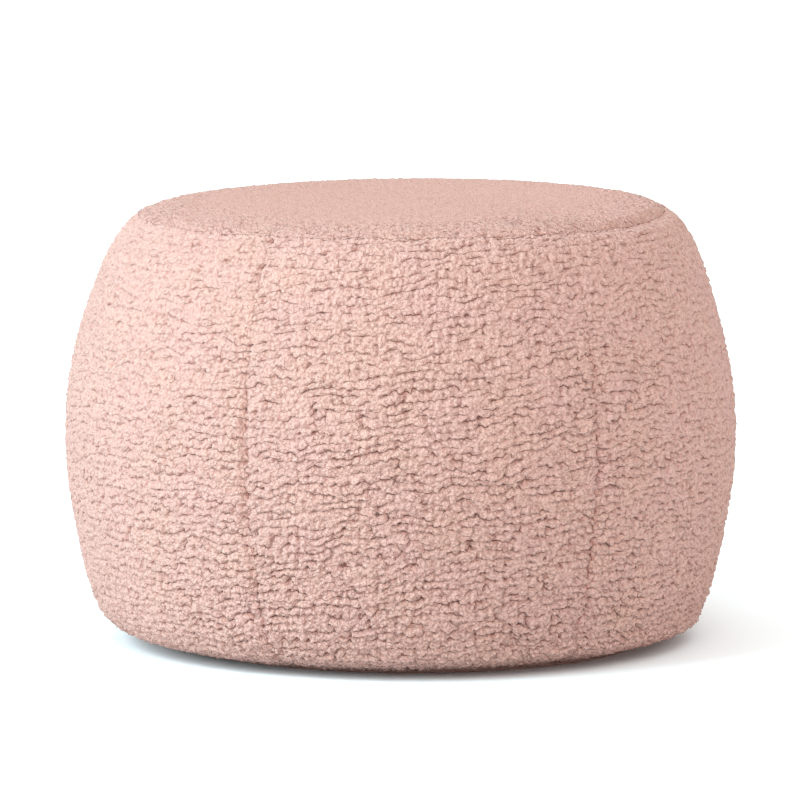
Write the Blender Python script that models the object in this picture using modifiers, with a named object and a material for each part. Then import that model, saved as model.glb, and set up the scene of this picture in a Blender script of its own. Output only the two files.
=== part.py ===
"""A round pouf in curly pile cloth.

Six tall side panels, a domed top panel and a flat bottom panel are sewn edge to edge and
filled firm. Each panel is one filled solid: its cloth with the filling behind it. It is
crowned on the outside and rolls inwards along every seam.

The pouf stands on the XY plane with its axis on +Z. Azimuth 0 faces -Y, the side that is
seen first, and grows towards +X.
"""

import math

import bmesh
import bpy
from mathutils import Vector

# Driving dimensions, in metres and degrees
WIDEST_RADIUS = 0.305
RIM_HEIGHT = 0.393
DOME_RISE = 0.014
BASE_SEAM_HEIGHT = 0.006
BASE_CONTACT_RADIUS = 0.190
PIECE_GAP = 0.0003

# The wall between the base seam and the rim seam: share of the height between the floor
# and the rim, and share of the widest radius
WALL_STATIONS = (
    (BASE_SEAM_HEIGHT / RIM_HEIGHT, 0.712),
    (0.038, 0.850),
    (0.073, 0.898),
    (0.170, 0.943),
    (0.350, 0.989),
    (0.460, 1.000),
    (0.570, 0.995),
    (0.680, 0.969),
    (0.780, 0.932),
    (0.870, 0.891),
    (0.940, 0.848),
    (1.000, 0.792),
)

# Side panels: the front one is a little wider than the other five
SIDE_PANELS = 6
FRONT_SEAM_AZIMUTH = -26.8
FRONT_PANEL_SPAN = 61.7
OTHER_PANEL_SPAN = (360.0 - FRONT_PANEL_SPAN) / (SIDE_PANELS - 1)
PANEL_CROWN = 0.002

# Sewn edges: how deep the cloth sinks, and how far from the seam it starts to roll
SEAM_DEPTH = 0.005
SEAM_ROLL = 0.015
RIM_SINK = Vector((-0.6, -0.8)) * SEAM_DEPTH
BASE_SINK = Vector((-0.6, 0.8)) * SEAM_DEPTH

# Filling that has settled unevenly: fuller low on the -X side and high on the +X side
WALL_SWAY = 0.0025
DOME_LEAN = 0.003
DOME_FLATNESS = 3.5

# Mesh density
WALL_COLUMNS = 20
WALL_ROWS = 26
CURVE_STEPS = 12
TURN_STEPS = 72
DOME_RINGS = 11
ROLL_RINGS = 4
BASE_RINGS = 4

MERGE_DISTANCE = 0.00005
SHARP_ANGLE = 45.0

CLOTH_COLOR = (0.77, 0.52, 0.45, 1.0)
CLOTH_ROUGHNESS = 0.95
CLOTH_SHEEN = 0.4


def clear_scene():
    """Remove whatever objects the scene holds."""
    for item in list(bpy.data.objects):
        bpy.data.objects.remove(item, do_unlink=True)


def new_collection(name):
    """Return a new collection in the scene."""
    collection = bpy.data.collections.new(name)
    bpy.context.scene.collection.children.link(collection)
    return collection


def pile_cloth(name):
    """Return a matt, slightly sheened cloth material."""
    material = bpy.data.materials.new(name)
    material.use_nodes = True
    shader = material.node_tree.nodes["Principled BSDF"]
    shader.inputs["Base Color"].default_value = CLOTH_COLOR
    shader.inputs["Roughness"].default_value = CLOTH_ROUGHNESS
    shader.inputs["Metallic"].default_value = 0.0
    shader.inputs["Sheen Weight"].default_value = CLOTH_SHEEN
    return material


def add_piece(name, mesh, collection):
    """Return a smooth shaded object for the mesh, with its own material."""
    piece = bpy.data.objects.new(name, mesh)
    collection.objects.link(piece)
    mesh.materials.append(pile_cloth(name + "_cloth"))
    mesh.shade_smooth()
    mesh.set_sharp_from_angle(angle=math.radians(SHARP_ANGLE))
    return piece


def smooth_curve(stations, steps):
    """Return points on a Catmull-Rom curve through the stations."""
    ends = [2 * stations[0] - stations[1]] + list(stations) + [2 * stations[-1] - stations[-2]]
    points = []
    for a, b, c, d in zip(ends, ends[1:], ends[2:], ends[3:]):
        for step in range(steps):
            t = step / steps
            bend = (2 * a - 5 * b + 4 * c - d) * t ** 2 + (3 * b - a - 3 * c + d) * t ** 3
            points.append(b + 0.5 * ((c - a) * t + bend))
    points.append(stations[-1])
    return points


def wall_curve():
    """Return the wall's section as (radius, height) points, from the base seam to the rim."""
    stations = [Vector((share * WIDEST_RADIUS, height * RIM_HEIGHT)) for height, share in WALL_STATIONS]
    return smooth_curve(stations, CURVE_STEPS)


def curve_lengths(points):
    """Return the length along the curve at each of its points."""
    lengths = [0.0]
    for before, after in zip(points, points[1:]):
        lengths.append(lengths[-1] + (after - before).length)
    return lengths


def point_along(points, lengths, distance):
    """Return the point at a distance along the curve, and its outward normal."""
    index = 1
    while index < len(points) - 1 and lengths[index] < distance:
        index += 1
    before = points[index - 1]
    after = points[index]
    share = (distance - lengths[index - 1]) / (lengths[index] - lengths[index - 1])
    along = (after - before).normalized()
    return before.lerp(after, share), Vector((along.y, -along.x))


def rolled(distance):
    """Return how far the cloth has sunk at this distance from a seam, from 1 at it to 0."""
    if distance >= SEAM_ROLL:
        return 0.0
    return 1.0 - math.sqrt(1.0 - (1.0 - distance / SEAM_ROLL) ** 2)


def bunched(share):
    """Return a share from -1 to 1 that bunches up towards both ends."""
    return math.sin(share * math.pi / 2)


def settled(azimuth, along):
    """Return how much fuller the wall is here, with along running from 0 at the base to 1."""
    return -WALL_SWAY * math.sin(math.radians(azimuth)) * math.sin(math.tau * along)


def side_panel_mesh(name, azimuth, span):
    """Return a filled panel that faces +X, a wedge from the axis to its crowned outer wall."""
    curve = wall_curve()
    lengths = curve_lengths(curve)
    half_span = span / 2

    bm = bmesh.new()
    bmesh.ops.create_grid(bm, x_segments=WALL_COLUMNS, y_segments=WALL_ROWS, size=1.0)
    for vert in bm.verts:
        across = bunched(vert.co.x)
        along = (1 + bunched(vert.co.y)) / 2
        distance = along * lengths[-1]
        place, normal = point_along(curve, lengths, distance)
        turn = math.radians(across * half_span)
        to_seam = place.x * math.radians((1 - abs(across)) * half_span)

        at_base = rolled(distance)
        at_rim = rolled(lengths[-1] - distance)
        clear = (1 - at_base) * (1 - at_rim)
        swell = PANEL_CROWN * math.cos(across * math.pi / 2) * math.sin(math.pi * along)
        swell += settled(azimuth + across * half_span, along)
        place += clear * (swell - SEAM_DEPTH * rolled(to_seam)) * normal
        place += at_base * BASE_SINK + at_rim * RIM_SINK
        vert.co = (place.x * math.cos(turn), place.x * math.sin(turn), place.y)

    close_wedge(bm)
    mesh = bpy.data.meshes.new(name)
    bm.to_mesh(mesh)
    bm.free()
    return mesh


def close_wedge(bm):
    """Close the wall's back with two upright seam faces and two level ones on the axis."""
    corners = [vert for vert in bm.verts if len(vert.link_edges) == 2]
    low = min(vert.co.z for vert in corners) + PIECE_GAP / 2
    high = max(vert.co.z for vert in corners) - PIECE_GAP / 2
    border = [edge for edge in bm.edges if edge.is_boundary]
    sides = {
        "base": [edge for edge in border if is_level(edge) and edge.verts[0].co.z < low],
        "rim": [edge for edge in border if is_level(edge) and edge.verts[0].co.z > high],
        "left": [edge for edge in border if not is_level(edge) and edge.verts[0].co.y < 0],
        "right": [edge for edge in border if not is_level(edge) and edge.verts[0].co.y > 0],
    }
    for edge in sides["base"]:
        for vert in edge.verts:
            vert.co.z = low
    for edge in sides["rim"]:
        for vert in edge.verts:
            vert.co.z = high

    axis_low = bm.verts.new((0, 0, low))
    axis_high = bm.verts.new((0, 0, high))
    axis_edge = bm.edges.new((axis_low, axis_high))
    corner_edges = {}
    for corner in corners:
        is_low = corner.co.z < (low + high) / 2
        is_left = corner.co.y < 0
        axis_vert = axis_low if is_low else axis_high
        corner_edges[is_low, is_left] = bm.edges.new((corner, axis_vert))

    rings = (
        sides["base"] + [corner_edges[True, True], corner_edges[True, False]],
        sides["rim"] + [corner_edges[False, True], corner_edges[False, False]],
        sides["left"] + [corner_edges[True, True], corner_edges[False, True], axis_edge],
        sides["right"] + [corner_edges[True, False], corner_edges[False, False], axis_edge],
    )
    for ring in rings:
        bmesh.ops.contextual_create(bm, geom=ring)
    bmesh.ops.recalc_face_normals(bm, faces=bm.faces[:])
    bmesh.ops.triangulate(bm, faces=[face for face in bm.faces if len(face.verts) > 4])


def is_level(edge):
    """Return whether both ends of the edge are at one height."""
    return abs(edge.verts[0].co.z - edge.verts[1].co.z) < MERGE_DISTANCE


def panel_spans():
    """Return each side panel's middle azimuth and span."""
    start = FRONT_SEAM_AZIMUTH
    spans = []
    for index in range(SIDE_PANELS):
        span = OTHER_PANEL_SPAN if index else FRONT_PANEL_SPAN
        spans.append((start + span / 2, span))
        start += span
    return spans


def add_side_panels(collection):
    """Add the six side panels, each moved out until it clears both seam planes."""
    for index, (azimuth, span) in enumerate(panel_spans()):
        name = "side_panel_%d" % (index + 1)
        panel = add_piece(name, side_panel_mesh(name, azimuth, span), collection)
        heading = math.radians(azimuth - 90)
        shift = PIECE_GAP / 2 / math.sin(math.radians(span / 2))
        panel.location = (shift * math.cos(heading), shift * math.sin(heading), 0)
        panel.rotation_euler.z = heading


def turned_panel(name, outline, collection):
    """Add a solid of revolution whose outline runs down its outer side, from axis to axis."""
    mesh = bpy.data.meshes.new(name)
    edges = [(i, i + 1) for i in range(len(outline) - 1)]
    mesh.from_pydata([(point.x, 0, point.y) for point in outline], edges, [])
    panel = add_piece(name, mesh, collection)
    screw = panel.modifiers.new("turn", "SCREW")
    screw.axis = "Z"
    screw.angle = math.tau
    screw.steps = TURN_STEPS
    screw.render_steps = TURN_STEPS
    screw.use_merge_vertices = True
    screw.merge_threshold = MERGE_DISTANCE
    screw.use_smooth_shade = True
    return panel


def rim_seam():
    """Return the (radius, height) of the rim seam before and after it sinks."""
    rim = Vector((WALL_STATIONS[-1][1] * WIDEST_RADIUS, RIM_HEIGHT))
    return rim, rim + RIM_SINK


def base_seam():
    """Return the (radius, height) of the base seam before and after it sinks."""
    seam = Vector((WALL_STATIONS[0][1] * WIDEST_RADIUS, BASE_SEAM_HEIGHT))
    return seam, seam + BASE_SINK


def add_top_panel(collection):
    """Add the domed top panel, which rolls down into the rim seam."""
    rim, seam = rim_seam()
    radii = [(rim.x - SEAM_ROLL) * ring / DOME_RINGS for ring in range(DOME_RINGS)]
    radii += [rim.x - SEAM_ROLL * (1 - bunched(ring / ROLL_RINGS)) for ring in range(ROLL_RINGS + 1)]
    outline = []
    for radius in radii:
        height = RIM_HEIGHT + DOME_RISE * (1 - (radius / rim.x) ** DOME_FLATNESS)
        outline.append(Vector((radius, height)) + rolled(rim.x - radius) * RIM_SINK)
    level = seam.y + PIECE_GAP / 2
    outline[-1].y = level
    outline.append(Vector((0, level)))
    panel = turned_panel("top_panel", outline, collection)
    lean_dome(panel, rim, level)


def lean_dome(panel, rim, level):
    """Raise the dome's fuller side with a two-layer lattice whose lower layer stays flat."""
    height = RIM_HEIGHT + DOME_RISE - level
    cage = bpy.data.lattices.new("top_panel_cage")
    cage.points_u = 3
    cage.points_v = 3
    cage.points_w = 2
    cage.interpolation_type_w = "KEY_LINEAR"
    # The cage is one unit long on each of its own axes, with its middle at 0
    layer = cage.points_u * cage.points_v
    for point in list(cage.points)[layer:]:
        point.co_deform.z += DOME_LEAN / height * 2 * point.co.x
    guide = bpy.data.objects.new("top_panel_cage", cage)
    panel.users_collection[0].objects.link(guide)
    guide.hide_render = True
    guide.display_type = "WIRE"
    guide.location = (0, 0, level + height / 2)
    guide.scale = (2 * rim.x, 2 * rim.x, height)
    settle = panel.modifiers.new("settle", "LATTICE")
    settle.object = guide


def add_bottom_panel(collection):
    """Add the bottom panel, flat where it rests and rolled up into the base seam."""
    edge, seam = base_seam()
    level = seam.y - PIECE_GAP / 2
    outline = [Vector((0, level)), Vector((seam.x, level))]
    for ring in range(1, BASE_RINGS + 1):
        share = 1 - ring / BASE_RINGS
        radius = BASE_CONTACT_RADIUS + (edge.x - BASE_CONTACT_RADIUS) * share
        height = BASE_SEAM_HEIGHT * share ** 2
        outline.append(Vector((radius, height)) + rolled(edge.x - radius) * BASE_SINK)
    outline[-1].y = 0.0
    outline.append(Vector((0, 0)))
    turned_panel("bottom_panel", outline, collection)


def main():
    clear_scene()
    pouf = new_collection("pouf")
    add_bottom_panel(pouf)
    add_side_panels(pouf)
    add_top_panel(pouf)


main()
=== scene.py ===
"""The looks of a round pouf in curly pile cloth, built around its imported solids.

Each sewn panel is a closed, finely meshed piece that stands for its solid. Rows of curled
clumps are laid out once, as a length of cloth, and each panel is cut from its own place on it.
Azimuth 0 faces -Y, the side that the camera sees, and grows towards +X.
"""

import math

import bpy
import numpy as np
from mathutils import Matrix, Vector


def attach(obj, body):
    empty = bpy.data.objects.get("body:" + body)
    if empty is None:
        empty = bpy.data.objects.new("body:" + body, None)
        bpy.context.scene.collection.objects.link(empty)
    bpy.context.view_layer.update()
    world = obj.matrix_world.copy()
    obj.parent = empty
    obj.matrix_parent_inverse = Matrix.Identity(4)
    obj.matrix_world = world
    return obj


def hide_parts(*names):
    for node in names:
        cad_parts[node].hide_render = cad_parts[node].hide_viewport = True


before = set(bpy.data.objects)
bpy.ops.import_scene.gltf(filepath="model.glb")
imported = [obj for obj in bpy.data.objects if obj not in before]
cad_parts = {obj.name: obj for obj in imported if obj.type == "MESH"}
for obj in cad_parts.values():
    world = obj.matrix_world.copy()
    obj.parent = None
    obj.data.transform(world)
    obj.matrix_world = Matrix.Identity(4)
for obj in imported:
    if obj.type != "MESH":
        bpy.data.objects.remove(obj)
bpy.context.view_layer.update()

# Sizes of the sewn form, in metres and degrees, close to those of the solids
WIDEST_RADIUS = 0.305
RIM_HEIGHT = 0.393
DOME_RISE = 0.0114
DOME_FLATNESS = 6.0
BASE_SEAM_HEIGHT = 0.0020
BASE_CONTACT_RADIUS = 0.210
PIECE_GAP = 0.0001
PANEL_CROWN = 0.002
# Stands in for a radius of 0 where something is divided by it
LEAST_RADIUS = 1e-6

# How the filling has settled: the rim is higher to the right, and the foot has moved that way.
# The shares are of the wall's length, from the foot up.
RIM_LEAN = 0.0024
RIM_LEAN_FROM = 0.5
UPPER_SWAY = 0.0006
LOWER_SWAY = -0.0017
SWAY_TURNS_FROM = 0.7
SWAY_TURNS_OVER = 0.25
FOOT_SHIFT = 0.008
FOOT_SHIFT_HEIGHT = 0.038

# The wall's section: share of the height to the rim, share of the widest radius
WALL_STATIONS = (
    (BASE_SEAM_HEIGHT / RIM_HEIGHT, 0.720),
    (0.038, 0.858),
    (0.073, 0.901),
    (0.170, 0.945),
    (0.350, 0.989),
    (0.460, 1.000),
    (0.570, 0.995),
    (0.680, 0.972),
    (0.780, 0.937),
    (0.870, 0.897),
    (0.940, 0.855),
    (1.000, 0.792),
)
CURVE_STEPS = 24

SIDE_PANELS = 6
FRONT_SEAM_AZIMUTH = -26.8
FRONT_PANEL_SPAN = 61.7
OTHER_PANEL_SPAN = (360.0 - FRONT_PANEL_SPAN) / (SIDE_PANELS - 1)
# How far each upright seam leans over its height, in degrees of azimuth
SEAM_LEANS = (-3.2, 1.5, -1.0, 0.8, -0.6, 1.2)
SEAM_LEAN_LEVEL = 0.45

# Sewn edges of the cloth: how far they sink, over what width, and how curls hide them
SIDE_SEAM_DEPTH = 0.0027
SIDE_SEAM_ROLL = 0.0075
RIM_ROUND = 0.0022
RIM_ROUND_REACH = 0.020
RIM_SEAM_DEPTH = 0.0050
RIM_SEAM_ROLL = 0.013
RIM_SEAM_DEEPEST = 61.0
RIM_SEAM_TIGHTNESS = 32
RIM_SEAM_ROW = 53
BASE_SEAM_DEPTH = 0.0012
BASE_SEAM_ROLL = 0.006
RIM_SINK = (-0.6, -0.8)
BASE_SINK = (-0.6, 0.8)
SEAM_WANDER = 0.0012
SEAM_BLEND = 0.005
# How far the painted shade of gaping stitches reaches from a seam
STITCH_SHADE_REACH = 0.0028
# Upright seams lose most of their depth and the painted shade of their gaping stitches over this share
# of the wall, near the rim
SEAM_FADE = 0.7
SEAM_FADES_FROM = 0.55
SEAM_FADES_OVER = 1 / 3
GAPING_MIDDLE = 0.3
GAPING_VARIES = 0.6

# Mesh density of the pile
PILE_CELL = 0.00148
TOP_CELL = 0.00180
BASE_CELL = 0.0050

# The length of cloth on which the clumps are laid out
CLOTH_CELL = 0.001
CLOTH_SAMPLES = 512
CLOTH_SIZE = CLOTH_CELL * CLOTH_SAMPLES
CLOTH_SEED = 11
CLOTH_ROWS = 68
CLOTH_COLUMNS = 64
FRONT_ROW_SLOPE = 0.10
OTHER_ROW_SLOPE = 0.02
ROW_SWAY = 0.0020
ROW_SWAY_SIZE = 0.040
CLUMP_SHOVE = 0.0008
CLUMP_SHOVE_SIZE = 0.007
JOIN_LENGTH = 0.013
JOIN_HEIGHT = 0.0050
NUB_SIZE = 0.0034

# Where each piece and each seam is cut from the length of cloth, in metres across and up
PANEL_CUT_START = (0.05, 0.03)
PANEL_CUT_STEP = (0.137, 0.211)
SEAM_CUT_STEP = (0.073, 0.119)
SEAM_WANDER_STEP = 0.031
SEAM_GAPING_STEP = 0.047
RIM_CUT = 0.2
TOP_CUT = (0.31, 0.27)
BASE_CUT = (0.11, 0.42)

# A clump of curls, in shares of a row's pitch or of a column's: its reach, and its chance parts
CLUMP_HALF_WIDTH = 0.95
CLUMP_UPPER_REACH = 0.80
CLUMP_LOWER_REACH = 0.62
CLUMP_POWER = 2.3
CLUMP_SIDE_CHANCE = 0.30
CLUMP_DROP_CHANCE = 0.17
CLUMP_WIDTH_CHANCE = 0.25
CLUMP_LEVEL_CHANCE = 0.10
# The height where no clump reaches, and the rows and columns from which a clump can reach a place
NO_CLUMP = -2.0
NEARBY = range(-2, 3)

# Relief of the pile. Rows part from closed to open, and closed rows keep a share of their depth.
PILE_DEPTH = 0.0061
CREASE_FLOOR = 0.25
CLOSED_DEPTH = 0.22
PARTING_LEAST = 0.1
PARTING_MIDDLE = 0.5
PARTING_VARIES = 0.4
NUB_DEPTH = 0.00065
DROOP = 0.5
RUFFLE_AT_FOOT = 1.45
RUFFLE_LOST_TO_RIM = 0.86
RUFFLE_FRONT = 12.0
RUFFLE_AT_SIDE = 0.15
RUFFLE_GAIN_TO_FRONT = 0.87
RUFFLE_AT_BACK = 0.52
FINE_RELIEF_LEAST = 0.2
# The pile stands less on the flattened top panel and on the bottom panel; the same share sets how much
# painted shade darkens their colour.
TOP_WORN_SHARE = 0.28
TOP_RIM_SHARE = 0.72
TOP_FRESH_RING = 0.008
TOP_FRESH_FADE = 0.080
TOP_FRESH_UNEVEN = 0.008


class Cloth:
    """A repeating length of pile cloth: rows of clumps, and slow noise that unsettles them."""

    def __init__(self, seed):
        self.random = np.random.default_rng(seed)
        self.sway = self.drift(ROW_SWAY_SIZE, ROW_SWAY_SIZE)
        self.shove = [self.drift(CLUMP_SHOVE_SIZE, CLUMP_SHOVE_SIZE) for _ in range(2)]
        self.parting = self.drift(JOIN_LENGTH, JOIN_HEIGHT)
        self.nubs = self.drift(NUB_SIZE, NUB_SIZE)
        self.side = self.chance(CLUMP_SIDE_CHANCE)
        self.drop = self.chance(CLUMP_DROP_CHANCE)
        self.width = 1 + self.chance(CLUMP_WIDTH_CHANCE)
        self.level = self.chance(CLUMP_LEVEL_CHANCE)

    def drift(self, width, height):
        """Return noise whose patches are about the given width and height."""
        frequency = np.fft.fftfreq(CLOTH_SAMPLES, CLOTH_CELL)
        reach = (frequency[None, :] * width) ** 2 + (frequency[:, None] * height) ** 2
        white = np.fft.fft2(self.random.standard_normal((CLOTH_SAMPLES, CLOTH_SAMPLES)))
        field = np.fft.ifft2(white * np.exp(-reach)).real
        field -= field.mean()
        return field / field.std()

    def chance(self, reach):
        """Return a chance value for each clump, up to the reach either way."""
        return self.random.uniform(-reach, reach, (CLOTH_ROWS, CLOTH_COLUMNS))

    def layers(self, across, up):
        """Return the heights of four interleaved layers of clumps, 1 at a clump's crown.

        Neighbouring clumps lie in different layers: 0 and 1 hold the even rows, 2 and 3 the odd.
        """
        sway = ROW_SWAY * sampled(self.sway, across, up)
        x = (across + CLUMP_SHOVE * sampled(self.shove[0], across, up)) * CLOTH_COLUMNS / CLOTH_SIZE
        y = (up + CLUMP_SHOVE * sampled(self.shove[1], across, up) + sway) * CLOTH_ROWS / CLOTH_SIZE
        layers = np.full((4,) + x.shape, NO_CLUMP)
        for row_step in NEARBY:
            for column_step in NEARBY:
                row = np.floor(y).astype(int) + row_step
                column = np.floor(x).astype(int) + column_step
                clump = row % CLOTH_ROWS, column % CLOTH_COLUMNS
                beside_crown = (x - column - 0.5 - self.side[clump]) / self.width[clump]
                above_crown = y - row - 0.5 - self.drop[clump]
                reach = np.where(above_crown > 0, CLUMP_UPPER_REACH, CLUMP_LOWER_REACH)
                fall = np.abs(beside_crown / CLUMP_HALF_WIDTH) ** CLUMP_POWER
                fall += np.abs(above_crown / reach) ** CLUMP_POWER
                height = 1 + self.level[clump] - fall
                layer = 2 * (row % 2) + column % 2
                for index in range(4):
                    here = np.where(layer == index, height, NO_CLUMP)
                    layers[index] = np.maximum(layers[index], here)
        return layers


def sampled(field, across, up):
    """Return the repeating field's values at places given in metres."""
    size = field.shape[0]
    x = np.mod(across / CLOTH_CELL, size)
    y = np.mod(up / CLOTH_CELL, size)
    left = np.floor(x).astype(int)
    low = np.floor(y).astype(int)
    x_share = x - left
    y_share = y - low
    left %= size
    low %= size
    right = (left + 1) % size
    high = (low + 1) % size
    lower = field[low, left] * (1 - x_share) + field[low, right] * x_share
    upper = field[high, left] * (1 - x_share) + field[high, right] * x_share
    return lower * (1 - y_share) + upper * y_share


def pile(cloth, across, up, origin, slope=0.0, ruffle=1.0):
    """Return how far the curls stand from the cloth's envelope, and the fields behind them."""
    x = across + origin[0]
    y = up + origin[1]
    layers = cloth.layers(x, y - slope * across)
    open_share = eased(PARTING_MIDDLE + PARTING_VARIES * sampled(cloth.parting, x, y))
    parting = ruffle * (PARTING_LEAST + (1 - PARTING_LEAST) * open_share)
    crown = np.maximum(layers.max(axis=0), CREASE_FLOOR)
    fields = {"layer_%d" % index: layer for index, layer in enumerate(layers)}
    fields["parting"] = parting
    lift = PILE_DEPTH * (CLOSED_DEPTH + (1 - CLOSED_DEPTH) * parting) * (crown - 1)
    return lift + NUB_DEPTH * (sampled(cloth.nubs, x, y) - 1), fields


def smooth_curve(stations, steps):
    """Return points on a Catmull-Rom curve through the stations."""
    stations = np.array(stations)
    ends = np.vstack([2 * stations[0] - stations[1], stations, 2 * stations[-1] - stations[-2]])
    points = []
    for a, b, c, d in zip(ends, ends[1:], ends[2:], ends[3:]):
        for t in np.arange(steps) / steps:
            bend = (2 * a - 5 * b + 4 * c - d) * t ** 2 + (3 * b - a - 3 * c + d) * t ** 3
            points.append(b + 0.5 * ((c - a) * t + bend))
    points.append(stations[-1])
    return np.array(points)


def rolled(distance, width):
    """Return how far cloth has sunk at a distance from a seam, from 1 at the seam to 0."""
    near = np.clip(1 - distance / width, 0, 1)
    return 1 - np.sqrt(1 - near ** 2)


def eased(share):
    """Return a smooth step from 0 to 1."""
    share = np.clip(share, 0, 1)
    return share * share * (3 - 2 * share)


def beside(distance, width):
    """Return 1 on an edge, easing to 0 over the width."""
    return eased(1 - distance / width)


class Wall:
    """The section of the sewn wall, from the base seam up to the rim seam."""

    def __init__(self):
        stations = [(share * WIDEST_RADIUS, height * RIM_HEIGHT) for height, share in WALL_STATIONS]
        self.points = smooth_curve(stations, CURVE_STEPS)
        steps = np.linalg.norm(np.diff(self.points, axis=0), axis=1)
        self.lengths = np.concatenate([[0], np.cumsum(steps)])
        self.length = self.lengths[-1]
        tangents = np.gradient(self.points, self.lengths, axis=0)
        self.tangents = tangents / np.linalg.norm(tangents, axis=1)[:, None]

    def at(self, distance):
        """Return radius, height and the tangent's two parts at distances along the section."""
        columns = (self.points[:, 0], self.points[:, 1], self.tangents[:, 0], self.tangents[:, 1])
        return [np.interp(distance, self.lengths, column) for column in columns]


def seam_azimuth(index, along):
    """Return a seam's azimuth in degrees at shares of the height along it."""
    index %= SIDE_PANELS
    start = FRONT_SEAM_AZIMUTH
    if index:
        start += FRONT_PANEL_SPAN + (index - 1) * OTHER_PANEL_SPAN
    return start + SEAM_LEANS[index] * (along - SEAM_LEAN_LEVEL)


def turns_over(index):
    """Return the degrees to add to a panel's right seam where the count starts again."""
    return 360.0 if index == SIDE_PANELS - 1 else 0.0


def seam_middle(index):
    """Return the azimuth of a side panel's middle, in radians."""
    left = seam_azimuth(index, SEAM_LEAN_LEVEL)
    right = seam_azimuth(index + 1, SEAM_LEAN_LEVEL) + turns_over(index)
    return math.radians((left + right) / 2)


def panel_origin(index):
    """Return where on the length of cloth a side panel is cut."""
    return [start + step * index for start, step in zip(PANEL_CUT_START, PANEL_CUT_STEP)]


def seam_curls(cloth, seam, distance):
    """Return an upright seam's shared curls, its sideways wander and how open its stitches are."""
    seam %= SIDE_PANELS
    straight = np.zeros_like(distance)
    lift, _ = pile(cloth, straight, distance, [step * seam for step in SEAM_CUT_STEP])
    wander = SEAM_WANDER * sampled(cloth.shove[0], straight + SEAM_WANDER_STEP * seam, distance)
    looseness = sampled(cloth.parting, straight + SEAM_GAPING_STEP * seam, distance)
    return lift, wander, eased(GAPING_MIDDLE + GAPING_VARIES * looseness)


def rim_depth(azimuth):
    """Return how far the rim seam has sunk, deepest to the right of the front."""
    off_deepest = azimuth - math.radians(RIM_SEAM_DEEPEST)
    return RIM_SEAM_DEPTH * np.cos(off_deepest / 2) ** RIM_SEAM_TIGHTNESS


def rim_sunk(azimuth, distance):
    """Return how far the cloth lies below the sharp rim at a distance from it."""
    round_off = RIM_ROUND * np.clip(1 - distance / RIM_ROUND_REACH, 0, 1) ** 2
    return round_off + rim_depth(azimuth) * beside(distance, RIM_SEAM_ROLL)


def rim_curls(cloth, azimuth):
    """Return the shared height of the curls along the rim seam, which runs along a row's crowns."""
    turns = np.mod(azimuth / math.tau, 1)
    crowns = (RIM_SEAM_ROW + 0.5) * CLOTH_SIZE / CLOTH_ROWS
    across = turns * math.tau * WIDEST_RADIUS
    return pile(cloth, across, np.zeros_like(across), (RIM_CUT, crowns))[0]


def rim_seam(cloth, azimuth):
    """Return the rim seam's radius and height, with the curls that cross it."""
    sunk = rim_sunk(azimuth, 0.0) - rim_curls(cloth, azimuth)
    radius = WALL_STATIONS[-1][1] * WIDEST_RADIUS + RIM_SINK[0] * sunk
    return radius, RIM_HEIGHT + RIM_LEAN * np.sin(azimuth) + RIM_SINK[1] * sunk


def rim_floor():
    """Return the least height that the rim seam sinks to, apart from its curls."""
    return RIM_HEIGHT + RIM_SINK[1] * (RIM_ROUND + RIM_SEAM_DEPTH)


def base_seam():
    """Return the base seam's radius and height once it has sunk."""
    return (WALL_STATIONS[0][1] * WIDEST_RADIUS + BASE_SINK[0] * BASE_SEAM_DEPTH,
            BASE_SEAM_HEIGHT + BASE_SINK[1] * BASE_SEAM_DEPTH)


def foot_shift(height):
    """Return how far the filling has moved the wall sideways near the floor."""
    return FOOT_SHIFT * (1 - eased(height / FOOT_SHIFT_HEIGHT))


def ruffled(azimuth, along):
    """Return how far the rows of curls have parted: most at the front and towards the foot."""
    turned = RUFFLE_AT_SIDE + RUFFLE_GAIN_TO_FRONT * np.cos(azimuth - math.radians(RUFFLE_FRONT))
    return np.clip(turned, RUFFLE_AT_BACK, 1) * (RUFFLE_AT_FOOT - RUFFLE_LOST_TO_RIM * along)


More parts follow.
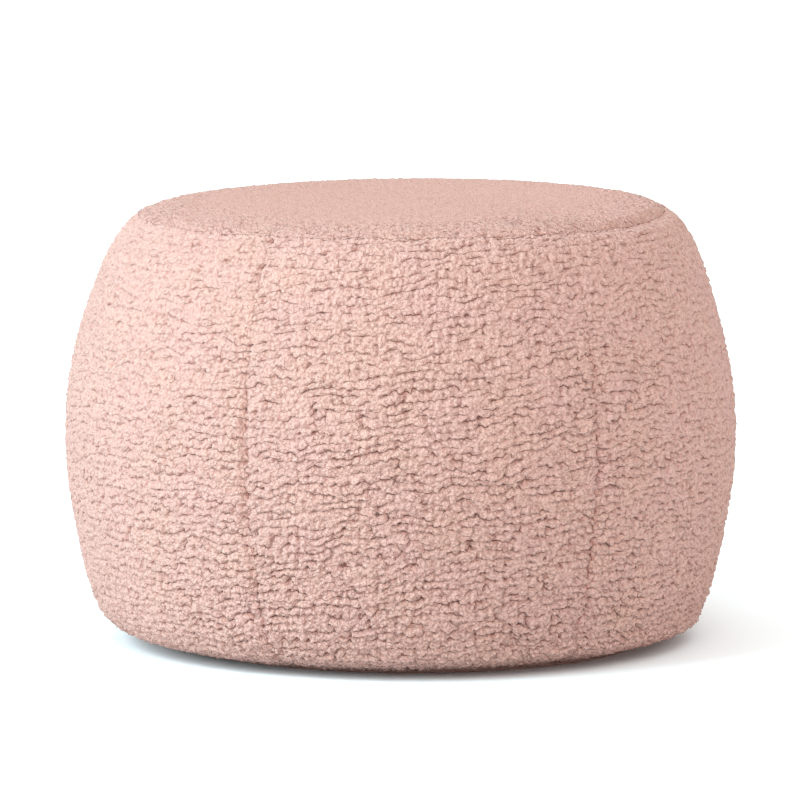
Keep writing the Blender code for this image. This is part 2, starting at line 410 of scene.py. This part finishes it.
def side_surface(wall, cloth, index):
    """Return a side panel's outer grid of points, and the cloth's fields on it."""
    columns = int(WIDEST_RADIUS * math.radians(FRONT_PANEL_SPAN) / PILE_CELL)
    rows = int(wall.length / PILE_CELL)
    across, along = np.meshgrid(np.linspace(0, 1, columns), np.linspace(0, 1, rows))
    distance = along * wall.length
    radius, height, tangent_r, tangent_z = wall.at(distance)
    level = height

    left_lift, left_wander, left_gaping = seam_curls(cloth, index, distance)
    right_lift, right_wander, right_gaping = seam_curls(cloth, index + 1, distance)
    left = np.radians(seam_azimuth(index, along)) + left_wander / radius
    right = np.radians(seam_azimuth(index + 1, along) + turns_over(index)) + right_wander / radius
    azimuth = left + (right - left) * across
    to_left = across * (right - left) * radius
    to_right = (1 - across) * (right - left) * radius
    to_seam = np.minimum(to_left, to_right)

    slope = OTHER_ROW_SLOPE if index else FRONT_ROW_SLOPE
    spot = radius * (azimuth - seam_middle(index))
    ruffle = ruffled(azimuth, along)
    lift, fields = pile(cloth, spot, distance, panel_origin(index), slope, ruffle)
    fields["stand"] = np.ones_like(lift)
    fields["relief"] = FINE_RELIEF_LEAST + (1 - FINE_RELIEF_LEAST) * ruffle
    seam_kept = 1 - SEAM_FADE * eased((along - SEAM_FADES_FROM) / SEAM_FADES_OVER)
    # Painted shade in the gaps of the gaping stitches, near each seam
    left_stitch_shade = left_gaping * beside(to_left, STITCH_SHADE_REACH)
    right_stitch_shade = right_gaping * beside(to_right, STITCH_SHADE_REACH)
    fields["stitch_shade"] = (left_stitch_shade + right_stitch_shade) * seam_kept
    at_left = beside(to_left, SEAM_BLEND)
    at_right = beside(to_right, SEAM_BLEND)
    lift = lift * (1 - at_left - at_right) + left_lift * at_left + right_lift * at_right
    at_top = beside(wall.length - distance, SEAM_BLEND)
    lift = lift * (1 - at_top) + rim_curls(cloth, azimuth) * at_top
    lift = lift * (1 - beside(distance, SEAM_BLEND))

    at_base = rolled(distance, BASE_SEAM_ROLL)
    at_rim = rolled(wall.length - distance, RIM_SEAM_ROLL)
    at_seam = beside(to_seam, SIDE_SEAM_ROLL) * seam_kept
    clear = (1 - at_base) * (1 - at_rim)
    swell = PANEL_CROWN * np.sin(math.pi * across) * np.sin(math.pi * along)
    sway_turned = eased((along - SWAY_TURNS_FROM) / SWAY_TURNS_OVER)
    sway = LOWER_SWAY + (UPPER_SWAY - LOWER_SWAY) * sway_turned
    out = clear * (swell + sway * np.sin(azimuth) - SIDE_SEAM_DEPTH * at_seam) + lift
    down = DROOP * lift * clear

    radius = radius + out * tangent_z - down * tangent_r
    height = height - out * tangent_r - down * tangent_z
    sink = rim_sunk(azimuth, wall.length - distance)
    radius = radius + BASE_SEAM_DEPTH * at_base * BASE_SINK[0] + sink * RIM_SINK[0]
    height = height + BASE_SEAM_DEPTH * at_base * BASE_SINK[1] + sink * RIM_SINK[1]
    leaning = eased((along - RIM_LEAN_FROM) / (1 - RIM_LEAN_FROM))
    height = height + RIM_LEAN * np.sin(azimuth) * leaning
    height[0, :] = base_seam()[1] + PIECE_GAP / 2
    radius[-1, :], height[-1, :] = rim_seam(cloth, azimuth[-1, :])
    height[-1, :] -= PIECE_GAP / 2

    gap_x, gap_y = panel_shift(index)
    x = radius * np.sin(azimuth) + foot_shift(level) + gap_x
    y = -radius * np.cos(azimuth) + gap_y
    return np.stack([x, y, height], -1), fields


def panel_shift(index):
    """Return the small move outwards that parts a side panel from its neighbours."""
    shift = PIECE_GAP / 2 / math.sin(math.radians(OTHER_PANEL_SPAN / 2))
    return shift * math.sin(seam_middle(index)), -shift * math.cos(seam_middle(index))


def disc_grid(radius, cell):
    """Return a square grid mapped evenly onto a disc."""
    count = int(math.sqrt(math.pi) * radius / cell)
    a, b = np.meshgrid(np.linspace(-1, 1, count), np.linspace(-1, 1, count))
    wide = np.abs(a) > np.abs(b)
    longer = np.where(wide, a, b)
    shorter = np.where(wide, b, a)
    turn = (math.pi / 4) * shorter / np.where(longer == 0, 1, longer)
    x = longer * np.where(wide, np.cos(turn), np.sin(turn))
    y = longer * np.where(wide, np.sin(turn), np.cos(turn))
    return x * radius, y * radius


def top_surface(cloth):
    """Return the top panel's outer grid and its cloth fields."""
    rim = WALL_STATIONS[-1][1] * WIDEST_RADIUS
    x, y = disc_grid(rim, TOP_CELL)
    radius = np.hypot(x, y)
    azimuth = np.arctan2(x, -y)
    to_seam = np.clip(rim - radius, 0, None)
    share = np.clip(radius / rim, 0, 1)
    lift, fields = pile(cloth, x, y, TOP_CUT)
    worn_from = to_seam - TOP_FRESH_RING + TOP_FRESH_UNEVEN * sampled(cloth.parting, x, y)
    worn = eased(worn_from / TOP_FRESH_FADE)
    fields["stand"] = TOP_RIM_SHARE + (TOP_WORN_SHARE - TOP_RIM_SHARE) * worn
    fields["relief"] = fields["stand"]
    fields["stitch_shade"] = np.zeros_like(x)
    at_rim = beside(to_seam, SEAM_BLEND)
    lift = lift * fields["stand"] * (1 - at_rim) + rim_curls(cloth, azimuth) * at_rim
    sunk = rim_sunk(azimuth, to_seam)
    height = RIM_HEIGHT + DOME_RISE * (1 - share ** DOME_FLATNESS) + RIM_LEAN * x / rim
    height = height + lift + RIM_SINK[1] * sunk
    radius = radius + RIM_SINK[0] * sunk
    edge = border(x.shape)
    radius[edge], height[edge] = rim_seam(cloth, azimuth[edge])
    height[edge] += PIECE_GAP / 2
    return np.stack([radius * np.sin(azimuth), -radius * np.cos(azimuth), height], -1), fields


def base_surface(cloth):
    """Return the bottom panel's outer grid, pressed flat where it rests, and its cloth fields."""
    edge_radius = WALL_STATIONS[0][1] * WIDEST_RADIUS
    x, y = disc_grid(edge_radius, BASE_CELL)
    radius = np.hypot(x, y)
    share = np.clip((radius - BASE_CONTACT_RADIUS) / (edge_radius - BASE_CONTACT_RADIUS), 0, 1)
    sunk = BASE_SEAM_DEPTH * rolled(np.clip(edge_radius - radius, 0, None), BASE_SEAM_ROLL)
    height = BASE_SEAM_HEIGHT * share ** 2 + BASE_SINK[1] * sunk
    shrink = 1 + BASE_SINK[0] * sunk / np.maximum(radius, LEAST_RADIUS)
    height[border(x.shape)] = base_seam()[1] - PIECE_GAP / 2
    _, fields = pile(cloth, x, y, BASE_CUT)
    fields["stand"] = np.full_like(x, TOP_WORN_SHARE)
    fields["relief"] = fields["stand"]
    fields["stitch_shade"] = np.zeros_like(x)
    x = x * shrink + foot_shift(BASE_SEAM_HEIGHT)
    return np.stack([x, y * shrink, height], -1), fields


def border(shape):
    """Return a mask of a grid's outermost points."""
    mask = np.zeros(shape, bool)
    mask[0, :] = mask[-1, :] = True
    mask[:, 0] = mask[:, -1] = True
    return mask


def grid_quads(rows, columns):
    """Return the corner indices of a grid's quads."""
    index = np.arange(rows * columns).reshape(rows, columns)
    return np.stack([index[:-1, :-1], index[:-1, 1:], index[1:, 1:], index[1:, :-1]], -1).reshape(-1, 4)


def border_loop(rows, columns):
    """Return a grid's border indices in order, closed, from the first corner along the first row."""
    index = np.arange(rows * columns).reshape(rows, columns)
    sides = [index[0, :-1], index[:-1, -1], index[-1, :0:-1], index[:0:-1, 0], index[0, :1]]
    return np.concatenate(sides)


def side_backs(rows, columns):
    """Return the fans that close a side panel, from the foot and the head of the pouf's axis."""
    loop = border_loop(rows, columns)
    foot = rows * columns
    head = foot + 1
    right_end = columns + rows - 2
    rim_end = right_end + columns - 1
    hubs = [head if right_end <= step < rim_end else foot for step in range(len(loop) - 1)]
    fans = [(loop[step + 1], loop[step], hub) for step, hub in enumerate(hubs)]
    fans += [(head, loop[right_end], foot), (loop[rim_end], head, foot)]
    return np.array(fans)


def disc_backs(rows, columns):
    """Return the fan that closes a round panel from the point behind its middle."""
    loop = border_loop(rows, columns)
    return np.array([(loop[step + 1], loop[step], rows * columns) for step in range(len(loop) - 1)])


def add_piece(name, points, fields, hubs, fans, faces_down=False):
    """Return a closed piece made of the outer grid's quads and the fans behind them."""
    rows, columns = points.shape[:2]
    quads = grid_quads(rows, columns)
    if faces_down:
        quads = quads[:, ::-1]
        fans = fans[:, ::-1]
    corners = np.concatenate([quads.ravel(), fans.ravel()])
    sizes = np.concatenate([np.full(len(quads), 4), np.full(len(fans), 3)])

    mesh = bpy.data.meshes.new(name)
    places = np.vstack([points.reshape(-1, 3), hubs])
    mesh.vertices.add(len(places))
    mesh.vertices.foreach_set("co", places.ravel())
    mesh.loops.add(len(corners))
    mesh.loops.foreach_set("vertex_index", corners)
    mesh.polygons.add(len(sizes))
    mesh.polygons.foreach_set("loop_start", np.concatenate([[0], np.cumsum(sizes)[:-1]]))
    mesh.update(calc_edges=True)
    mesh.polygons.foreach_set("use_smooth", sizes == 4)
    for field_name, values in fields.items():
        attribute = mesh.attributes.new(field_name, "FLOAT", "POINT")
        attribute.data.foreach_set("value", np.append(values.ravel(), np.ones(len(hubs))))
    lay_uv(mesh, corners, rows, columns, len(fans))

    piece = bpy.data.objects.new(name, mesh)
    bpy.context.scene.collection.objects.link(piece)
    return piece


# How the unit square of a piece's map is shared out: the outer grid to the left, the backs beside it
MAP_EDGE = 0.01
GRID_RIGHT = 0.90
BACKS_LEFT = 0.92
BACK_CORNERS = ((BACKS_LEFT, 0.0), (BACKS_LEFT, 0.8), (1 - MAP_EDGE, 0.4))


def lay_uv(mesh, corners, rows, columns, fans):
    """Map the outer grid onto most of the square, and each back triangle to a sliver beside it."""
    u, v = np.meshgrid(
        np.linspace(MAP_EDGE, GRID_RIGHT, columns),
        np.linspace(MAP_EDGE, 1 - MAP_EDGE, rows),
    )
    outer = len(corners) - 3 * fans
    spots = np.stack([u.ravel(), v.ravel()], -1)
    uv = np.zeros((len(corners), 2))
    uv[:outer] = spots[corners[:outer]]
    step = (1 - 2 * MAP_EDGE) / fans
    base = MAP_EDGE + step * np.arange(fans)
    for corner, (across, up) in enumerate(BACK_CORNERS):
        uv[outer + corner::3] = np.stack([np.full(fans, across), base + step * up], -1)
    layer = mesh.uv_layers.new(name="OFBake")
    layer.data.foreach_set("uv", uv.ravel())


def dress(piece, node, material):
    """Give a piece its material, attach it to the root body and hide the solid that it stands for."""
    piece.data.materials.append(material)
    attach(piece, "root")
    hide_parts(node)


def add_side_panels(cloth, material):
    """Add the six side panels, each closed with faces that meet on the pouf's axis."""
    wall = Wall()
    low = base_seam()[1] + PIECE_GAP / 2
    high = rim_floor() - PIECE_GAP / 2
    for index in range(SIDE_PANELS):
        points, fields = side_surface(wall, cloth, index)
        hubs = [(*panel_shift(index), low), (*panel_shift(index), high)]
        fans = side_backs(*points.shape[:2])
        piece = add_piece("side_cloth_%d" % (index + 1), points, fields, hubs, fans)
        dress(piece, "side_panel_%d" % (index + 1), material)


def add_round_panels(cloth, material):
    """Add the domed top panel and the pressed bottom panel."""
    points, fields = top_surface(cloth)
    hub = [(0, 0, rim_floor() + PIECE_GAP / 2)]
    top = add_piece("top_cloth", points, fields, hub, disc_backs(*points.shape[:2]))
    dress(top, "top_panel", material)
    points, fields = base_surface(cloth)
    hub = [(0, 0, base_seam()[1] - PIECE_GAP / 2)]
    bottom = add_piece("bottom_cloth", points, fields, hub, disc_backs(*points.shape[:2]), True)
    dress(bottom, "bottom_panel", material)


# Colours of the cloth, as linear light. The tip tones are the cloth's own and the sheen tint is its
# sheen; the others are painted shade.
TIP_PINK = (0.576, 0.328, 0.296, 1.0)
TIP_BEIGE = (0.571, 0.339, 0.268, 1.0)
# Painted shade for the flattened pile of the top and bottom panels
FLATTENED_PILE_PAINTED_SHADE = (0.495, 0.252, 0.199, 1.0)
# Painted shade for the hollows between tufts
TUFT_HOLLOW_PAINTED_SHADE = (0.464, 0.223, 0.182, 1.0)
VALLEY_PAINTED_SHADE = (0.39, 0.113, 0.074, 1.0)
CREASE_PAINTED_SHADE = (0.31, 0.053, 0.028, 1.0)
SHEEN_TINT = (1.0, 0.88, 0.85, 1.0)

# How strongly each painted shade lies in its place
VALLEY_TINT = 0.35
SIDE_CREASE_TINT = 0.15
LOWER_CREASE_TINT = 0.75
STITCH_SHADE_TINT = 0.5

# Where the clumps' height counts as a valley, and how wide the creases are, in shares of a clump
VALLEY_BEGINS = 0.85
VALLEY_ENDS = 0.35
LOWER_CREASE_WIDTH = 0.16
SIDE_CREASE_WIDTH = 0.14

# Sizes of the patches of tone, the tufts and the finest relief, and their heights in the bump
TONE_PATCH_SIZE = 0.045
TUFT_SIZE = 0.0031
# Tufts take painted shade below this share of their height
TUFT_SHADE_ENDS = 0.9
FINE_SIZE = 0.0016
LOWER_CREASE_CUT = -1.8
SIDE_CREASE_CUT = -0.3
TUFT_HEIGHT = 1.2
FINE_HEIGHT = 0.8
BUMP_DISTANCE = 0.0022


class PileShader:
    """Builds the node tree of the pile cloth."""

    def __init__(self, name):
        self.material = bpy.data.materials.new(name)
        self.material.use_nodes = True
        self.tree = self.material.node_tree
        self.shader = self.tree.nodes["Principled BSDF"]
        self.place = self.tree.nodes.new("ShaderNodeTexCoord").outputs["Object"]

    def put(self, socket, value):
        """Link a socket to an input, or set the input's plain value."""
        if isinstance(value, bpy.types.NodeSocket):
            self.tree.links.new(value, socket)
        else:
            socket.default_value = value

    def math(self, operation, *values):
        """Return the result of a Math node."""
        node = self.tree.nodes.new("ShaderNodeMath")
        node.operation = operation
        for socket, value in zip(node.inputs, values):
            self.put(socket, value)
        return node.outputs[0]

    def attribute(self, name):
        """Return one of the mesh's cloth fields."""
        node = self.tree.nodes.new("ShaderNodeAttribute")
        node.attribute_name = name
        return node.outputs["Fac"]

    def noise(self, size, detail):
        """Return noise whose features are about the given size in metres."""
        node = self.tree.nodes.new("ShaderNodeTexNoise")
        node.inputs["Scale"].default_value = 1 / size
        node.inputs["Detail"].default_value = detail
        self.put(node.inputs["Vector"], self.place)
        return node.outputs["Fac"]

    def tufts(self, size):
        """Return the height of round tufts about the given size in metres, from 0 to 1."""
        node = self.tree.nodes.new("ShaderNodeTexVoronoi")
        node.inputs["Scale"].default_value = 1 / size
        self.put(node.inputs["Vector"], self.place)
        distance = node.outputs["Distance"]
        return self.math("SUBTRACT", 1.0, self.math("MULTIPLY", distance, distance))

    def mix(self, share, first, second):
        """Return a colour between two."""
        node = self.tree.nodes.new("ShaderNodeMix")
        node.data_type = "RGBA"
        sockets = (node.inputs[0], node.inputs[6], node.inputs[7])
        for socket, value in zip(sockets, (share, first, second)):
            self.put(socket, value)
        return node.outputs[2]

    def crease(self, field, width):
        """Return 1 on the field's zero lines, falling off over the given width."""
        scaled = self.math("DIVIDE", field, width)
        return self.math("POWER", math.exp(-1), self.math("MULTIPLY", scaled, scaled))

    def clumps(self):
        """Return the clumps' height, and how near their lower and side creases are, from 0 to 1."""
        layers = [self.attribute("layer_%d" % index) for index in range(4)]
        even = self.math("MAXIMUM", layers[0], layers[1])
        odd = self.math("MAXIMUM", layers[2], layers[3])
        even_gap = self.math("SUBTRACT", layers[0], layers[1])
        odd_gap = self.math("SUBTRACT", layers[2], layers[3])
        is_even = self.math("GREATER_THAN", even, odd)
        side_gap = self.math("MULTIPLY_ADD", is_even, self.math("SUBTRACT", even_gap, odd_gap), odd_gap)
        lower = self.crease(self.math("SUBTRACT", even, odd), LOWER_CREASE_WIDTH)
        return self.math("MAXIMUM", even, odd), lower, self.crease(side_gap, SIDE_CREASE_WIDTH)

    def share(self, value, low, high):
        """Return how far a value is from low to high, from 0 to 1."""
        node = self.tree.nodes.new("ShaderNodeMapRange")
        for name, number in (("Value", value), ("From Min", low), ("From Max", high)):
            self.put(node.inputs[name], number)
        return node.outputs["Result"]


def pile_material(name):
    """Curly blush pile, paler at the tips, with painted shade that darkens and reddens the flattened
    pile, the hollows between tufts, the valleys and creases between clumps and the gaping stitches.
    """
    nodes = PileShader(name)
    shader = nodes.shader
    shader.inputs["Roughness"].default_value = 0.95
    shader.inputs["Specular IOR Level"].default_value = 0.12
    shader.inputs["Sheen Weight"].default_value = 0.12
    shader.inputs["Sheen Roughness"].default_value = 0.5
    shader.inputs["Sheen Tint"].default_value = SHEEN_TINT

    stand = nodes.attribute("stand")
    crown, lower_crease, side_crease = nodes.clumps()
    parting = nodes.math("MULTIPLY", nodes.attribute("parting"), stand)
    valley = nodes.math("MULTIPLY", nodes.share(crown, VALLEY_BEGINS, VALLEY_ENDS), parting)
    lower_crease = nodes.math("MULTIPLY", lower_crease, valley)
    side_crease = nodes.math("MULTIPLY", side_crease, parting)
    tufts = nodes.tufts(TUFT_SIZE)
    fine = nodes.noise(FINE_SIZE, 1.0)

    tone = nodes.mix(nodes.noise(TONE_PATCH_SIZE, 2.0), TIP_PINK, TIP_BEIGE)
    # Painted shade darkens the flattened pile, where it stands less
    tone = nodes.mix(stand, FLATTENED_PILE_PAINTED_SHADE, tone)
    # Painted shade darkens the hollows between tufts, so that their tops look lit
    tone = nodes.mix(nodes.share(tufts, 0.0, TUFT_SHADE_ENDS), TUFT_HOLLOW_PAINTED_SHADE, tone)
    # Painted shade darkens and reddens the valleys and the creases between clumps
    tone = nodes.mix(nodes.math("MULTIPLY", valley, VALLEY_TINT), tone, VALLEY_PAINTED_SHADE)
    tone = nodes.mix(nodes.math("MULTIPLY", side_crease, SIDE_CREASE_TINT), tone, VALLEY_PAINTED_SHADE)
    tone = nodes.mix(nodes.math("MULTIPLY", lower_crease, LOWER_CREASE_TINT), tone, CREASE_PAINTED_SHADE)
    # Painted shade in the gaps of the gaping stitches along the upright seams
    tone = nodes.mix(nodes.math("MULTIPLY", nodes.attribute("stitch_shade"), STITCH_SHADE_TINT), tone, CREASE_PAINTED_SHADE)
    nodes.put(shader.inputs["Base Color"], tone)

    relief = nodes.math("MULTIPLY", lower_crease, LOWER_CREASE_CUT)
    relief = nodes.math("MULTIPLY_ADD", side_crease, SIDE_CREASE_CUT, relief)
    relief = nodes.math("MULTIPLY_ADD", tufts, TUFT_HEIGHT, relief)
    relief = nodes.math("MULTIPLY", relief, nodes.attribute("relief"))
    relief = nodes.math("MULTIPLY_ADD", fine, FINE_HEIGHT, relief)
    bump = nodes.tree.nodes.new("ShaderNodeBump")
    bump.inputs["Strength"].default_value = 1.0
    bump.inputs["Distance"].default_value = BUMP_DISTANCE
    nodes.put(bump.inputs["Height"], relief)
    nodes.put(shader.inputs["Normal"], bump.outputs["Normal"])
    return nodes.material


# The view: a long lens, a little above the pouf's middle
CAMERA_TARGET = (0, 0, 0.1982)
CAMERA_DISTANCE = 7.078
CAMERA_ELEVATION = 7.4
AIM_RIGHT = -0.0019
AIM_UP = 0.0189
METRES_PER_PIXEL = 0.0009114
IMAGE_WIDTH = 800
SENSOR_WIDTH = 36.0


def direction(azimuth, elevation):
    """Return the unit vector from the pouf towards an azimuth and elevation, in degrees."""
    turn = math.radians(azimuth)
    rise = math.radians(elevation)
    level = math.cos(rise)
    return Vector((level * math.sin(turn), -level * math.cos(turn), math.sin(rise)))


def add_pointed(name, data, place, aim):
    """Add a camera or a light that points from a place to its aim."""
    holder = bpy.data.objects.new(name, data)
    bpy.context.scene.collection.objects.link(holder)
    holder.location = place
    holder.rotation_euler = (aim - place).to_track_quat("-Z", "Y").to_euler()
    return holder


def add_camera():
    """Look at the pouf from the front, from the height of a low tripod."""
    camera = bpy.data.cameras.new("camera")
    camera.sensor_width = SENSOR_WIDTH
    camera.lens = SENSOR_WIDTH * CAMERA_DISTANCE / (METRES_PER_PIXEL * IMAGE_WIDTH)
    target = Vector(CAMERA_TARGET)
    place = target + direction(0, CAMERA_ELEVATION) * CAMERA_DISTANCE
    up = direction(180, 90 - CAMERA_ELEVATION)
    aim = target + Vector((AIM_RIGHT, 0, 0)) + up * AIM_UP
    bpy.context.scene.camera = add_pointed("camera", camera, place, aim)


# The studio: a soft key from the left and a smaller, higher fill, in an even white surround.
# Each light has an azimuth, an elevation, a size, a power and a tone.
LIGHT_DISTANCE = 10.0
KEY = (-66.0, 28.0, 8.0, 1350.0, (0.70, 1.05, 1.17))
FILL = (12.0, 32.0, 5.5, 380.0, (0.96, 1.01, 1.0))
SURROUND_TONE = (0.96, 1.02, 1.025, 1.0)
SURROUND_STRENGTH = 1.08
FLOOR_WHITE = (0.96, 0.96, 0.96, 1.0)
FLOOR_SIZE = 60.0


def add_light(name, azimuth, elevation, size, power, tone):
    """Add a square soft light that faces the pouf's middle."""
    light = bpy.data.lights.new(name, "AREA")
    light.size = size
    light.energy = power
    light.color = tone
    middle = Vector(CAMERA_TARGET)
    add_pointed(name, light, middle + direction(azimuth, elevation) * LIGHT_DISTANCE, middle)


def add_studio():
    """Add a white floor, a white surround and the two lights."""
    bpy.ops.mesh.primitive_plane_add(size=FLOOR_SIZE, location=(0, 0, 0))
    floor = bpy.context.object
    floor.name = "floor"
    material = bpy.data.materials.new("floor_white")
    material.use_nodes = True
    shader = material.node_tree.nodes["Principled BSDF"]
    shader.inputs["Base Color"].default_value = FLOOR_WHITE
    shader.inputs["Roughness"].default_value = 0.9
    shader.inputs["Specular IOR Level"].default_value = 0.0
    floor.data.materials.append(material)

    add_light("key", *KEY)
    add_light("fill", *FILL)

    world = bpy.data.worlds.new("surround")
    world.use_nodes = True
    background = world.node_tree.nodes["Background"]
    background.inputs["Color"].default_value = SURROUND_TONE
    background.inputs["Strength"].default_value = SURROUND_STRENGTH
    bpy.context.scene.world = world
    bpy.context.scene.view_settings.view_transform = "Standard"


def main():
    """Build the pouf's cloth and the studio."""
    cloth = Cloth(CLOTH_SEED)
    material = pile_material("pile_cloth")
    add_side_panels(cloth, material)
    add_round_panels(cloth, material)
    add_camera()
    add_studio()


main()
